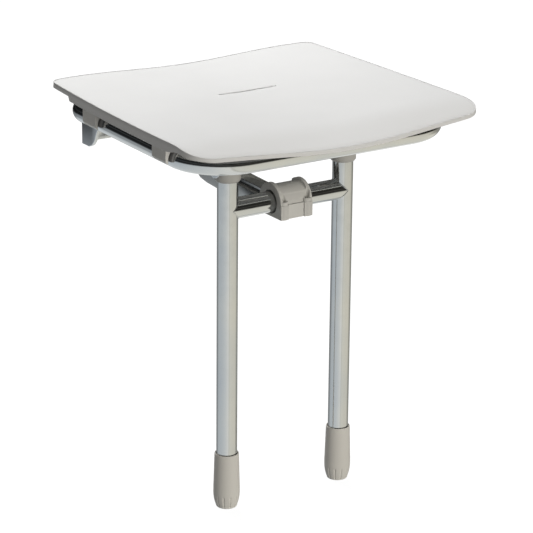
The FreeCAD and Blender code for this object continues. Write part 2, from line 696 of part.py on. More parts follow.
# ---------------------------------------------------------------- feet
def foot_sleeve(side, sign):
    """Long ferrule over the leg's end, with grip grooves round its lower part."""
    label = f"foot_sleeve_{side}"
    bore, belly, rim = "foot_bore_radius", "foot_belly_radius", "foot_rim_radius"
    profile = [("0", "3"), (f"{belly} - 6", "3"), (f"{belly} - 6", "0"), (f"{belly} - 5", "0"),
               (f"{belly} - 3.2", "2"), (f"{belly} - 1.6", "6.5"), (f"{belly} - 0.5", "13"),
               (belly, "20"), (f"{belly} - 0.25", "32"),
               (rim, "foot_height - 1.5"), (f"{rim} - 0.6", "foot_height"), (bore, "foot_height"),
               (bore, "13"), ("0", "13")]
    body = revolved(label, profile)
    groove = circles(body, label + "_groove", "XY_Plane", [("foot_belly_radius - 0.4", "0")], "1.1")
    doc.recompute()
    before = body.Shape.Volume
    channel = body.newObject("PartDesign::Pocket", label + "_channel")
    channel.Profile = groove
    channel.Length = 17
    channel.Reversed = True
    pattern = body.newObject("PartDesign::PolarPattern", label + "_pattern")
    pattern.Originals = [channel]
    pattern.Axis = (groove, ["N_Axis"])
    pattern.Angle = 360
    pattern.Occurrences = 12
    body.Tip = pattern
    doc.recompute()
    if not body.Shape.Volume < before - 1:
        raise RuntimeError(f"{label} has no grooves")
    node(body, label, x=f"{sign} * leg_half_gap", y="-leg_reach", z="-floor_drop")


def foot_spindle(side, sign):
    """Steel spindle moulded into the foot, which screws into the leg's plug."""
    label = f"foot_spindle_{side}"
    profile = [("0", "13"), ("8", "13"), ("8", "16"), ("spindle_radius", "16"),
               ("spindle_radius", "62"), ("spindle_radius - 1.5", "64"), ("0", "64")]
    node(revolved(label, profile), label, x=f"{sign} * leg_half_gap", y="-leg_reach",
         z="-floor_drop")


def foot_pad(side, sign):
    """Rubber disc let into the underside of the foot."""
    label = f"foot_pad_{side}"
    edge = "foot_belly_radius - 6"
    profile = [("0", "0"), (edge, "0"), (edge, "3"), ("0", "3")]
    node(revolved(label, profile), label, x=f"{sign} * leg_half_gap", y="-leg_reach",
         z="-floor_drop")


# ---------------------------------------------------------------- link arm
def link_body():
    """The arm's curved box, pocketed from below, with its raised rib on top."""
    body = doc.addObject("PartDesign::Body", "link_box_body")
    profile = [("12", "-21.3"), ("60", "-19.7"), ("125", "-17.7"), ("150", "-16.2"), ("164", "-13.6"),
               ("176", "-6"), ("188", "8"), ("199", "24"), ("208", "38"), ("191", "42"),
               ("178", "25"), ("168", "13"), ("158", "6"), ("146", "2.6"), ("120", "0.6"), ("12", "-2")]
    pad(body, outline(body, "link_box_profile", "YZ_Plane", profile), "2 * link_half_width", True)
    rib = [("12", "-4"), ("120", "-2"), ("146", "0"), ("160", "5"), ("172", "14"), ("184", "28"),
           ("179", "32"), ("166", "18"), ("154", "10.4"), ("142", "7.8"), ("118", "6.8"), ("12", "4")]
    pad(body, outline(body, "link_rib_profile", "YZ_Plane", rib), "2 * link_rib_half_width", True)
    pocket_profile = [("27", "-30"), ("27", "-6"), ("120", "-3"), ("146", "-1"), ("156", "2"),
                      ("166", "9"), ("172", "4"), ("164", "-6"), ("150", "-30")]
    hollow = outline(body, "link_hollow_profile", "YZ_Plane", pocket_profile)
    doc.recompute()
    before = body.Shape.Volume
    pocket = body.newObject("PartDesign::Pocket", "link_hollow")
    pocket.Profile = hollow
    pocket.SideType = "Symmetric"
    pocket.setExpression("Length", cells("2 * link_half_width - 6"))
    doc.recompute()
    if not body.Shape.Volume < before - 1:
        raise RuntimeError("the link arm is not hollowed")
    return body


def clamp_ring(name):
    """Clamp round the crossbar before it is split: body, end flanges and front block."""
    whole, flange = "clamp_half_width", "clamp_flange_wall"
    pieces = [rod(name + "_body", "X", "clamp_body_radius", f"2 * {whole}", f"-{whole}")]
    for end, start in enumerate((f"-{whole}", f"{whole} - {flange}")):
        pieces.append(rod(f"{name}_flange_{end}", "X", "clamp_flange_radius", flange, start))
    return pieces


def below_split(name):
    """Room under the split plane that the lower half of the clamp takes up."""
    return box(name, "-40", "-40", "-40", "80", "64", "40")


def link_arm():
    """Pressed arm from the wall bracket to the clamp, shaped round the clamp's upper half."""
    rear = {"y": "leg_reach - hinge_reach", "z": "frame_rise"}
    boss = rod("rear_boss", "X", "boss_radius", "2 * boss_half_width", "-boss_half_width", **rear)
    boss_bore = rod("boss_bore", "X", "8", "80", "-40", **rear)
    seat = clamp_ring("arm_seat") + corner_columns("arm_seat", "0", "column_rise")
    arm = fuse("link_arm_whole", link_body(), boss)
    node(cut("link_arm_bored", arm, below_split("arm_below"), boss_bore, *seat), "link_arm",
         y="-leg_reach", z="-crossbar_drop")


def link_clamp_top():
    """Upper half of the clamp, with recessed screw columns at its corners."""
    whole = fuse("clamp_top_whole", *clamp_ring("upper_clamp"),
                 *corner_columns("upper", "0", "column_rise"))
    bore = rod("clamp_bore", "X", "clamp_bore_radius", "80", "-40")
    lower_half = box("clamp_top_split", "-40", "-40", "-40", "80", "80", "40")
    node(cut("clamp_top_bored", whole, lower_half, bore, *nut_pockets()), "link_clamp_top",
         y="-leg_reach", z="-crossbar_drop")


CORNERS = [(x, y) for x in (-16.5, 16.5) for y in (-19.5, 17.5)]


def corner_columns(name, z, height):
    """Round screw columns at the clamp's four corners."""
    columns = []
    for index, (x, y) in enumerate(CORNERS):
        columns.append(rod(f"{name}_column_{index}", "Z", "5.5", height, f"{x}", f"{y}", z))
        inner = min(abs(y), 12.0) * (1 if y > 0 else -1)
        low = min(y, inner)
        columns.append(box(f"{name}_web_{index}", f"{x} - 5.5", f"{low}", z, "11",
                           f"{abs(y - inner)}", height))
    return columns


def nut_pockets():
    """Screw holes with a recess at the top of each column."""
    tools = []
    for index, (x, y) in enumerate(CORNERS):
        tools.append(rod(f"screw_way_{index}", "Z", "2", "60", f"{x}", f"{y}", "-30"))
        tools.append(rod(f"nut_recess_{index}", "Z", "3.6", "40", f"{x}", f"{y}",
                         "column_rise - 2"))
    return tools


def link_clamp_cap():
    """Lower half of the clamp: a block with a flat bottom and four screw columns."""
    drop = "clamp_drop"
    pieces = clamp_ring("lower_clamp")
    pieces.append(box("cap_block", "-clamp_half_width", "-24", f"-{drop}", "2 * clamp_half_width",
                      "47", drop))
    pieces += corner_columns("lower", f"-{drop}", drop)
    below = box("cap_below", "-40", "-40", f"-{drop} - 30", "80", "80", "30")
    recess = box("cap_face_recess", "-11", "-40", "-40", "22", "18", "80")
    upper_half = box("above_split", "-40", "-40", "0", "80", "80", "40")
    bores = [rod("cap_bore", "X", "clamp_bore_radius", "80", "-40")]
    for index, (x, y) in enumerate(CORNERS):
        bores.append(rod(f"cap_screw_{index}", "Z", "2", "60", f"{x}", f"{y}", "-30"))
        bores.append(rod(f"cap_head_{index}", "Z", "3.6", "3", f"{x}", f"{y}", f"-{drop} - 0.5"))
    whole = fuse("clamp_cap_whole", *pieces)
    arm = box("arm_way", "-clamp_half_width - 1", "23.7", "-40", "50", "10", "50")
    node(cut("clamp_cap_bored", whole, upper_half, below, recess, arm, *bores), "link_clamp_cap",
         y="-leg_reach", z="-crossbar_drop - 0.2")


def clamp_screws():
    """Four screws that close the clamp from below."""
    screws = []
    for index, (x, y) in enumerate(CORNERS):
        shank = rod(f"clamp_screw_{index}_shank", "Z", "2", "clamp_drop + 0.8", f"{x}", f"{y}",
                    "-clamp_drop + 1.5")
        head = rod(f"clamp_screw_{index}_head", "Z", "3.4", "2", f"{x}", f"{y}",
                   "-clamp_drop + 0.3")
        screws.append(fuse(f"clamp_screw_{index}", shank, head))
    group = doc.addObject("Part::Compound", "clamp_screw_group")
    group.Links = screws
    node(group, "clamp_screws", y="-leg_reach", z="-crossbar_drop")


def clamp_liner():
    """Nylon sleeve inside the clamp, recessed from its ends."""
    half = "clamp_half_width - 4"
    sleeve = rod("clamp_liner_sleeve", "X", "clamp_bore_radius", f"2 * ({half})", f"-({half})")
    bore = rod("clamp_liner_bore", "X", "clamp_liner_radius", "80", "-40")
    node(cut("clamp_liner_ring", sleeve, bore), "clamp_liner", y="-leg_reach", z="-crossbar_drop")


def link_bush(side, sign):
    """Flanged nylon bush in one end of the arm's rear boss."""
    label = f"link_bush_{side}"
    sleeve = rod(label + "_sleeve", "X", "8", "12", "boss_half_width - 12")
    flange = rod(label + "_flange", "X", "11", "lug_gap - boss_half_width - 0.2", "boss_half_width")
    bore = rod(label + "_bore", "X", "bolt_radius + running_gap", "60", "0")
    bush = cut(label + "_turned", fuse(label + "_blank", sleeve, flange), bore)
    if sign < 0:
        turned(bush, Z_AXIS, 180)
    node(bush, label, y="-hinge_reach", z="frame_rise - crossbar_drop")


# ---------------------------------------------------------------- assembly
wall_plate()
seat_frame()
cross_tube()
seat_shell()
crossbar()
link_bolt()
link_arm()
link_clamp_top()
link_clamp_cap()
clamp_liner()
clamp_screws()
clip_screws()
for maker in (hinge_ear, hinge_bush, link_lug, leg_hanger, leg_pivot_pin, leg_tube, leg_cap,
              foot_nut, foot_sleeve, foot_spindle, foot_pad, link_bush):
    for side_name, side_sign in SIDES:
        maker(side_name, side_sign)
for maker in (seat_clip, clip_liner):
    for clip_name, clip_sign, clip_end in CLIPS:
        maker(clip_name, clip_sign, clip_end)

doc.recompute()
for item in doc.Objects:
    if "Invalid" in item.State or "Error" in item.State:
        raise RuntimeError(f"{item.Name} failed: {item.State}")
for item in nodes:
    if item.Shape.isNull() or not item.Shape.isValid():
        raise RuntimeError(f"{item.Label} has no valid shape")
for item in nodes:
    item.Shape.exportStep(f"parts/{item.Label}.step")
    print(f"{item.Label}: {len(item.Shape.Solids)} solid(s), {item.Shape.Volume / 1000:.2f} cm3")
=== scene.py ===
import bisect
import json
import math
from itertools import repeat

import bpy
from mathutils import Matrix, Vector

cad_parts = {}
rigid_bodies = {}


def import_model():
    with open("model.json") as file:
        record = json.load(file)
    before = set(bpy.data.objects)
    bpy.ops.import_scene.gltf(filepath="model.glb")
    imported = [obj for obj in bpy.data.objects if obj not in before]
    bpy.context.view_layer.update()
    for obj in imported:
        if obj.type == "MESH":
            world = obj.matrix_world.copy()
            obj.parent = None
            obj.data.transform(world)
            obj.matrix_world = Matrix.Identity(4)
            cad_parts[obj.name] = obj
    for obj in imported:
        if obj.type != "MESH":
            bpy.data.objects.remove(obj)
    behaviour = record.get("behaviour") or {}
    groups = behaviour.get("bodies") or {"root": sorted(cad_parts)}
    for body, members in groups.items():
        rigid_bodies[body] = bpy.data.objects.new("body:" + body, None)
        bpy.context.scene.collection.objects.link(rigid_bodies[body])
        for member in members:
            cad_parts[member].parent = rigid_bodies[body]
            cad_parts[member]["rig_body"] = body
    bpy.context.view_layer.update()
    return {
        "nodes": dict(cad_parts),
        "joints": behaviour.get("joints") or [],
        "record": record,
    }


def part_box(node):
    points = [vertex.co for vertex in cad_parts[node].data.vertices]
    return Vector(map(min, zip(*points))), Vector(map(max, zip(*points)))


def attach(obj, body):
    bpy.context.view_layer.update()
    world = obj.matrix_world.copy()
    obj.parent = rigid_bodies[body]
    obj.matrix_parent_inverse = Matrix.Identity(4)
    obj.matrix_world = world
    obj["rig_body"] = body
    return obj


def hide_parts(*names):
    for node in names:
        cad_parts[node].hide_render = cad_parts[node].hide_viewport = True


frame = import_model()

MM = 0.001
TAU = 2 * math.pi
NODES = frame["nodes"]
SLOT_OF = {part["node"]: part["material_slot"] for part in frame["record"]["subparts"]}
SIDES = (("left", -1), ("right", 1))
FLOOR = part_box("foot_pad_left")[0].z


# ---------------------------------------------------------------- shapes
def smooth_faces(mesh):
    """Shades every face of a mesh smooth."""
    for polygon in mesh.polygons:
        polygon.use_smooth = True


def placed(name, mesh, body, material, slot, sharp=35.0):
    """A smooth piece that rides on a body; edges that turn by more than sharp degrees stay hard."""
    piece = bpy.data.objects.new(name, mesh)
    bpy.context.scene.collection.objects.link(piece)
    mesh.materials.clear()
    mesh.materials.append(material)
    smooth_faces(mesh)
    mesh.set_sharp_from_angle(angle=math.radians(sharp))
    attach(piece, body)
    return piece


def mesh_piece(name, loops, body, material, slot, sharp=35.0, capped=False):
    """A piece skinned over closed loops of points in the row frame.

    The last loop joins the first, as round a ring; a capped piece has its end loops filled instead."""
    count = len(loops[0])
    points = [tuple(point) for loop in loops for point in loop]
    faces = []
    for a in range(len(loops) - 1 if capped else len(loops)):
        b = (a + 1) % len(loops)
        for k in range(count):
            n = (k + 1) % count
            faces.append((a * count + k, a * count + n, b * count + n, b * count + k))
    if capped:
        faces += [tuple(range(count)), tuple(reversed(range(len(points) - count, len(points))))]
    mesh = bpy.data.meshes.new(name)
    mesh.from_pydata(points, [], faces)
    mesh.validate()
    mesh.update()
    return placed(name, mesh, body, material, slot, sharp)


def lathe(name, profile, centre, body, material, slot, segments, swell=None, sharp=35.0):
    """A piece turned about an upright axis from a closed profile of (radius, height) in mm.

    swell gives the mm to add to the radius at an angle and height."""
    loops = []
    for radius, height in profile:
        loop = []
        for k in range(segments):
            angle = TAU * k / segments
            reach = radius * MM
            if swell:
                reach += swell(angle, height) * MM
            offset = Vector((reach * math.cos(angle), reach * math.sin(angle), height * MM))
            loop.append(Vector(centre) + offset)
        loops.append(loop)
    return mesh_piece(name, loops, body, material, slot, sharp)


def rounded(corners, radius, steps=4):
    """A closed profile with each corner replaced by a small curve."""
    result = []
    for i, corner in enumerate(corners):
        here = Vector(corner)
        before = Vector(corners[i - 1]) - here
        after = Vector(corners[(i + 1) % len(corners)]) - here
        start, end = here + before.normalized() * radius, here + after.normalized() * radius
        for k in range(steps + 1):
            t = k / steps
            point = start * (1 - t) ** 2 + here * 2 * t * (1 - t) + end * t ** 2
            result.append(tuple(point))
    return result


def quarter_turn(steps):
    """Sine and cosine at even steps of a quarter turn, for rounding an edge."""
    angles = [math.pi / 2 * k / steps for k in range(steps + 1)]
    return [(math.sin(angle), math.cos(angle)) for angle in angles]


def smooth_step(value, low, high):
    """Nothing below low, one above high, and a smooth rise between them."""
    t = min(max((value - low) / (high - low), 0.0), 1.0)
    return t * t * (3 - 2 * t)


def softened(label, width, material):
    """A copy of a CAD node whose hard edges are rounded off by width mm, standing for the node."""
    mesh = NODES[label].data.copy()
    piece = placed(label + "_moulded", mesh, NODES[label]["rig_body"], material, SLOT_OF[label], 50.0)
    round_edges(piece, width)
    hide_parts(label)


def round_edges(piece, width):
    """Merges the mesh's flat faces, rounds its edges and bakes that into the mesh."""
    weld = piece.modifiers.new("weld", "WELD")
    weld.merge_threshold = 0.002 * MM
    flat = piece.modifiers.new("flat", "DECIMATE")
    flat.decimate_type = "DISSOLVE"
    flat.angle_limit = math.radians(0.6)
    bevel = piece.modifiers.new("bevel", "BEVEL")
    bevel.width = width * MM
    bevel.segments = 2
    bevel.limit_method = "ANGLE"
    bevel.angle_limit = math.radians(40.0)
    bpy.context.view_layer.update()
    depsgraph = bpy.context.evaluated_depsgraph_get()
    baked = bpy.data.meshes.new_from_object(piece.evaluated_get(depsgraph))
    piece.modifiers.clear()
    piece.data = baked
    smooth_faces(baked)
    baked.set_sharp_from_angle(angle=math.radians(28.0))


# ---------------------------------------------------------------- materials
# The sockets of a mix node that belong to colours.
SHARE, FIRST, SECOND, RESULT = 0, 6, 7, 2


class Maker:
    """Builds one procedural material, in object coordinates, step by step."""

    def __init__(self, name):
        self.material = bpy.data.materials.new(name)
        self.material.use_nodes = True
        self.nodes = self.material.node_tree.nodes
        self.links = self.material.node_tree.links
        self.shader = self.nodes["Principled BSDF"]
        self.place = self.nodes.new("ShaderNodeTexCoord").outputs["Object"]
        self.height = None

    def set(self, **values):
        """Plain values for the shader's inputs."""
        for name, value in values.items():
            self.shader.inputs[name.replace("_", " ")].default_value = value
        return self

    def noise(self, scale, detail=4.0, stretch=(1, 1, 1)):
        """Noise with scale bumps to a metre; stretch multiplies that along each axis."""
        mapping = self.nodes.new("ShaderNodeMapping")
        mapping.inputs["Scale"].default_value = stretch
        self.links.new(self.place, mapping.inputs["Vector"])
        texture = self.nodes.new("ShaderNodeTexNoise")
        texture.inputs["Scale"].default_value = scale
        texture.inputs["Detail"].default_value = detail
        self.links.new(mapping.outputs["Vector"], texture.inputs["Vector"])
        return texture.outputs["Fac"]

    def ranged(self, value, low, high, source_low=0.3, source_high=0.7):
        """The source range of a value spread over low to high."""
        node = self.nodes.new("ShaderNodeMapRange")
        node.inputs["From Min"].default_value = source_low
        node.inputs["From Max"].default_value = source_high
        node.inputs["To Min"].default_value = low
        node.inputs["To Max"].default_value = high
        self.links.new(value, node.inputs["Value"])
        return node.outputs["Result"]

    def mixed(self, share, first, second):
        """A colour between two; each is a tuple or the output of another step."""
        node = self.nodes.new("ShaderNodeMix")
        node.data_type = "RGBA"
        for socket, value in ((node.inputs[FIRST], first), (node.inputs[SECOND], second)):
            if isinstance(value, tuple):
                socket.default_value = (*value, 1.0)
            else:
                self.links.new(value, socket)
        self.links.new(share, node.inputs[SHARE])
        return node.outputs[RESULT]

    def clouded(self, value, first, second):
        """One colour drifting into another with a noise."""
        return self.mixed(self.ranged(value, 0.0, 1.0), first, second)

    def edge_highlighted(self, colour, pale, gain, low, high):
        """A colour that turns to pale, made lighter by gain, along outer edges: a painted edge highlight.
        """
        geometry = self.nodes.new("ShaderNodeNewGeometry")
        edge = self.ranged(geometry.outputs["Pointiness"], 0.0, 1.0, low, high)
        return self.mixed(edge, colour, tuple(min(1.0, channel * gain) for channel in pale))

    def bump(self, value, strength, distance):
        """Relief on top of the relief so far."""
        node = self.nodes.new("ShaderNodeBump")
        node.inputs["Strength"].default_value = strength
        node.inputs["Distance"].default_value = distance
        self.links.new(value, node.inputs["Height"])
        if self.height:
            self.links.new(self.height, node.inputs["Normal"])
        self.height = node.outputs["Normal"]
        return self

    def done(self, colour, roughness):
        """The finished material."""
        self.links.new(colour, self.shader.inputs["Base Color"])
        self.links.new(roughness, self.shader.inputs["Roughness"])
        if self.height:
            self.links.new(self.height, self.shader.inputs["Normal"])
        return self.material


def polished_steel(name, stretch):
    """Polished stainless tube: fine drawn lines one way, faint cloudy marks."""
    m = Maker(name).set(Metallic=1.0)
    m.bump(m.noise(260.0, 3.0, stretch), strength=0.035, distance=0.0002)
    colour = m.clouded(m.noise(16.0, 3.0), (0.60, 0.615, 0.625), (0.66, 0.66, 0.64))
    return m.done(colour, m.ranged(m.noise(90.0, 5.0), 0.07, 0.14))


def satin_steel(name, dark, pale, roughness, grain=520.0):
    """Blasted or rolled steel sheet; roughness is a (low, high) pair."""
    m = Maker(name).set(Metallic=1.0)
    fine = m.noise(grain, 4.0)
    m.bump(fine, strength=0.10, distance=0.0003)
    colour = m.clouded(m.noise(22.0, 4.0), dark, pale)
    # Outer edges turn lighter: a painted edge highlight.
    return m.done(m.edge_highlighted(colour, pale, gain=1.18, low=0.52, high=0.60), m.ranged(fine, *roughness))


def moulded_plastic(name, dark, pale, roughness, grain=900.0, relief=0.06, sheen=0.5):
    """Moulded plastic: a fine spark-eroded grain, slow waves and a faint cloudiness of colour."""
    m = Maker(name).set(Metallic=0.0, Specular_IOR_Level=sheen)
    fine = m.noise(grain, 3.0)
    m.bump(fine, strength=relief, distance=0.0002)
    m.bump(m.noise(38.0, 2.0), strength=0.05, distance=0.0005)
    colour = m.clouded(m.noise(9.0, 4.0), dark, pale)
    # Outer edges turn lighter: a painted edge highlight.
    return m.done(m.edge_highlighted(colour, pale, gain=1.05, low=0.53, high=0.62), m.ranged(fine, *roughness))


def rubber(name):
    """Matt dark rubber."""
    m = Maker(name).set(Metallic=0.0, Specular_IOR_Level=0.3)
    fine = m.noise(700.0, 5.0)
    m.bump(fine, strength=0.25, distance=0.0004)
    colour = m.clouded(m.noise(40.0), (0.030, 0.030, 0.031), (0.050, 0.050, 0.049))
    return m.done(colour, m.ranged(fine, 0.65, 0.85))


STEEL_UPRIGHT = polished_steel("polished_tube_upright", (9, 9, 0.12))
STEEL_ACROSS = polished_steel("polished_tube_across", (0.12, 9, 9))
STEEL_RING = polished_steel("polished_tube_ring", (3, 3, 3))
BRACKET = satin_steel("bracket_sheet", (0.56, 0.58, 0.60), (0.63, 0.64, 0.65), (0.34, 0.46))
ARM = satin_steel("link_pressing", (0.34, 0.34, 0.34), (0.42, 0.42, 0.41), (0.16, 0.26), grain=300.0)
HARDWARE = satin_steel("zinc_hardware", (0.50, 0.50, 0.49), (0.60, 0.60, 0.58), (0.28, 0.40))
SEAT = moulded_plastic("seat_shell_white", (0.805, 0.805, 0.80), (0.835, 0.835, 0.83), (0.36, 0.46),
                       grain=1300.0, relief=0.05, sheen=0.22)
CLIP = moulded_plastic("clip_white", (0.79, 0.78, 0.75), (0.83, 0.82, 0.79), (0.38, 0.48))
# The same white plastic as the feet, made darker: painted shade, for the slight shade the clamp sits in.
SHADED_JOINT = moulded_plastic("joint_white_painted_shade", (0.66, 0.65, 0.62), (0.70, 0.69, 0.66), (0.34, 0.44))
# The collars are the same white plastic as the feet, made grey here: painted shade from the seat above.
SHADED_COLLAR = moulded_plastic("collar_grey_painted_shade", (0.47, 0.46, 0.44), (0.52, 0.51, 0.48), (0.34, 0.44))
FOOT = moulded_plastic("foot_ivory", (0.81, 0.79, 0.74), (0.86, 0.84, 0.79), (0.42, 0.54),
                       grain=800.0, relief=0.09)
NYLON = moulded_plastic("liner_nylon", (0.20, 0.20, 0.205), (0.25, 0.25, 0.25), (0.40, 0.52))
RUBBER = rubber("foot_rubber")
BY_SLOT = {
    "tube_steel": STEEL_ACROSS, "bracket_steel": BRACKET, "hardware_steel": HARDWARE,
    "seat_plastic": SEAT, "liner_nylon": NYLON, "joint_plastic": SHADED_JOINT,
    "foot_plastic": FOOT, "foot_rubber": RUBBER,
}


def repaint_cad_nodes():
    """Gives each CAD node the material of its slot and smooth shading."""
    for label, node in NODES.items():
        node.data.materials.clear()
        node.data.materials.append(BY_SLOT[SLOT_OF[label]])
        smooth_faces(node.data)


# ---------------------------------------------------------------- seat shell, in mm
SEAT_LOW, SEAT_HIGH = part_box("seat_shell")
SEAT_FRONT, SEAT_REAR = SEAT_LOW.y / MM, SEAT_HIGH.y / MM
FRONT_HALF, REAR_HALF = 199.0, 187.0        # half widths, at the sides' front end and at the rear
SIDE_FRONT = -338.0                         # where the sides stop and the front corners start
REAR_STRAIGHT, REAR_CORNER = 178.5, 10.0    # half of the straight rear edge, depth of its corners
BOW_HALF, BOW_SAG = 168.0, 13.0             # half width of the bowed front edge, and its sag
BOW_END_WAY = Vector((-1, -0.14))
CORNER_PULL = 0.39                          # how full the corners are

MIDDLE_TOP = 57.4                           # height of the top's middle line, which rises to the wall
MIDDLE_RISE, RISE_LENGTH = 3.1, 300.0
CREST, CREST_RISE, CREST_FADE = 155.0, 5.6, 0.7         # the saddle's crest on each side
BORDER, BORDER_FALL, BORDER_STEEPENS = 40.0, 1.0, 0.8   # the fall outside the crests
ROLL_START, ROLL_WIDTH, ROLL_SLOPE, ROLL_MORE_AT_SIDES = -318.0, 34.0, 0.235, 0.12

LIP_DEPTH, RIM_EXTRA, SKIRT_EXTRA = 4.8, 2.4, 5.4       # depths of the edge, each on top of the last
RIM_STARTS = (-366.0, -345.0)
SKIRT_STARTS, SKIRT_ENDS, SKIRT_SIDE = (-336.0, -303.0), (-71.0, -68.0), (180.0, 184.0)
SKIN, WALL = 4.5, 4.0                       # thickness of the top and of the edge
GATHER = 0.25                               # how much closer the mesh rings lie near the slot
BEAD_ROUND, RIM_ROUND, WALL_ROUND, SKIN_ROUND = 0.9, 0.7, 0.8, 1.2

SLOT_Y, SLOT_HALF, SLOT_RADIUS = -163.0, 41.0, 1.9
SLOT_SPREAD = 1.12                          # how much of the outline runs to the slot's two ends
SLOT_LIP = 0.4


def seat_height(x, y):
    """Height of the seat's top: a saddle across, and a front edge that rolls down."""
    across = min(abs(x), CREST) / CREST
    along = max(0.0, (y - ROLL_START) / RISE_LENGTH)
    middle = MIDDLE_TOP + MIDDLE_RISE * along ** 1.5
    saddle = (CREST_RISE - CREST_FADE * along) * (1 - math.cos(math.pi * across)) / 2
    border = (BORDER_FALL + BORDER_STEEPENS * along) * (max(0.0, abs(x) - CREST) / BORDER) ** 2
    past = max(0.0, ROLL_START - y)
    roll = past ** 2 / (2 * ROLL_WIDTH) if past < ROLL_WIDTH else past - ROLL_WIDTH / 2
    return middle + saddle - border - ROLL_SLOPE * roll * (1 + ROLL_MORE_AT_SIDES * across)


def seat_half_width(y):
    """Half width of the seat at a distance out from the wall."""
    share = max(0.0, y - SIDE_FRONT) / (SEAT_REAR - SIDE_FRONT)
    return FRONT_HALF - (FRONT_HALF - REAR_HALF) * share ** 2


def bezier(a, b, c, d, t):
    """A point on a cubic curve."""
    s = 1 - t
    return a * s ** 3 + b * 3 * s * s * t + c * 3 * s * t * t + d * t ** 3


def corner(start, start_way, end, end_way, steps=24):
    """The points between two ends of a rounded corner."""
    reach = (end - start).length * CORNER_PULL
    first, second = start + start_way.normalized() * reach, end - end_way.normalized() * reach
    return [bezier(start, first, second, end, k / steps) for k in range(1, steps)]


def seat_outline():
    """The right half of the outline seen from above, from the rear middle to the front middle."""
    rear_steps, side_steps, front_steps = 30, 60, 40
    rear = [Vector((REAR_STRAIGHT * k / rear_steps, SEAT_REAR)) for k in range(rear_steps + 1)]
    side_start = SEAT_REAR - REAR_CORNER
    side = []
    for k in range(side_steps + 1):
        y = side_start + (SIDE_FRONT - side_start) * k / side_steps
        side.append(Vector((seat_half_width(y), y)))
    radius = (BOW_HALF ** 2 + BOW_SAG ** 2) / (2 * BOW_SAG)
    front = []
    for k in range(front_steps + 1):
        x = BOW_HALF * (1 - k / front_steps)
        front.append(Vector((x, SEAT_FRONT + radius - math.sqrt(radius ** 2 - x ** 2))))
    rear_corner = corner(rear[-1], Vector((1, 0)), side[0], side[1] - side[0])
    front_corner = corner(side[-1], side[-1] - side[-2], front[0], BOW_END_WAY)
    return rear + rear_corner + side + front_corner + front


def resampled(points, count):
    """Evenly spaced points along an open polyline."""
    lengths = [0.0]
    for a, b in zip(points, points[1:]):
        lengths.append(lengths[-1] + (b - a).length)
    result = []
    for k in range(count + 1):
        target = lengths[-1] * k / count
        i = min(bisect.bisect_right(lengths, target) - 1, len(points) - 2)
        share = (target - lengths[i]) / (lengths[i + 1] - lengths[i])
        result.append(points[i].lerp(points[i + 1], share))
    return result


def mirrored(half):
    """A whole loop from its right half, which starts and ends on the middle."""
    return half + [Vector((-p.x, p.y)) for p in reversed(half[1:-1])]


def normals_of(loop):
    """Inward normals of a closed loop that runs clockwise seen from above."""
    result = []
    for k in range(len(loop)):
        along = loop[(k + 1) % len(loop)] - loop[k - 1]
        result.append(Vector((along.y, -along.x)).normalized())
    return result


def rim_depth(point):
    """Depth of the seat's edge: a thin lip in front, a rim, and deeper skirts along the sides."""
    rim = RIM_EXTRA * smooth_step(point.y, *RIM_STARTS)
    skirt = smooth_step(point.y, *SKIRT_STARTS) * (1 - smooth_step(point.y, *SKIRT_ENDS))
    beside = smooth_step(abs(point.x), *SKIRT_SIDE)
    return LIP_DEPTH + rim + SKIRT_EXTRA * skirt * beside


def slot_loop(outline):
    """The edge of the drain slot, with a point for each point of the outline."""
    loop = []
    for point in outline:
        angle = math.atan2(point.x, point.y - SLOT_Y)
        share = max(-1, min(1, point.x / FRONT_HALF * SLOT_SPREAD))
        loop.append(Vector((share * (SLOT_HALF - SLOT_RADIUS) + SLOT_RADIUS * math.sin(angle),
                            SLOT_Y + SLOT_RADIUS * math.cos(angle))))
    return loop


def edge_section():
    """The seat's edge in section as (inset, drop, hangs): top bead, rim, inner wall, fillet to the skin.

    Drops are below the top, or below the rim's depth where hangs is one."""
    section = [(BEAD_ROUND * (1 - sine), BEAD_ROUND * (1 - cosine), 0)
               for sine, cosine in reversed(quarter_turn(6))]
    section += [(RIM_ROUND * (1 - cosine), -RIM_ROUND * (1 - sine), 1)
                for sine, cosine in quarter_turn(6)]
    section += [(WALL - WALL_ROUND * (1 - sine), -WALL_ROUND * (1 - cosine), 1)
                for sine, cosine in quarter_turn(4)]
    section += [(WALL + SKIN_ROUND * (1 - cosine), SKIN + SKIN_ROUND * (1 - sine), 0)
                for sine, cosine in quarter_turn(4)]
    return section


def under_top(spots, drops):
    """A loop of points at drops below the seat's top."""
    loop = []
    for spot, drop in zip(spots, drops):
        loop.append(Vector((spot.x, spot.y, seat_height(spot.x, spot.y) - drop)) * MM)
    return loop


def make_seat():
    """A closed shell from loops: edge, underside, the slot's wall and the top."""
    half_count, rings = 220, 34
    outline = mirrored(resampled(seat_outline(), half_count))
    inward = normals_of(outline)
    slot = slot_loop(outline)
    shares = [k / rings * (1 + GATHER - GATHER * k / rings) for k in range(1, rings + 1)]
    loops = []
    for inset, drop, hangs in edge_section():
        inner = [point + way * inset for point, way in zip(outline, inward)]
        loops.append(under_top(inner, [drop + hangs * rim_depth(point) for point in outline]))
    for share in shares:
        spots = [a.lerp(b, share) for a, b in zip(inner, slot)]
        loops.append(under_top(spots, repeat(SKIN)))
    for sine, cosine in quarter_turn(3):
        flared = [point - way * SLOT_LIP * (1 - cosine) for point, way in zip(slot, normals_of(slot))]
        loops.append(under_top(flared, repeat(SLOT_LIP * (1 - sine))))
    for share in shares[:-1]:
        spots = [a.lerp(b, 1 - share) for a, b in zip(outline, flared)]
        loops.append(under_top(spots, repeat(0.0)))
    shell = mesh_piece("seat_shell_moulding", loops, "seat", SEAT, "seat_plastic", 60.0)
    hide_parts("seat_shell")


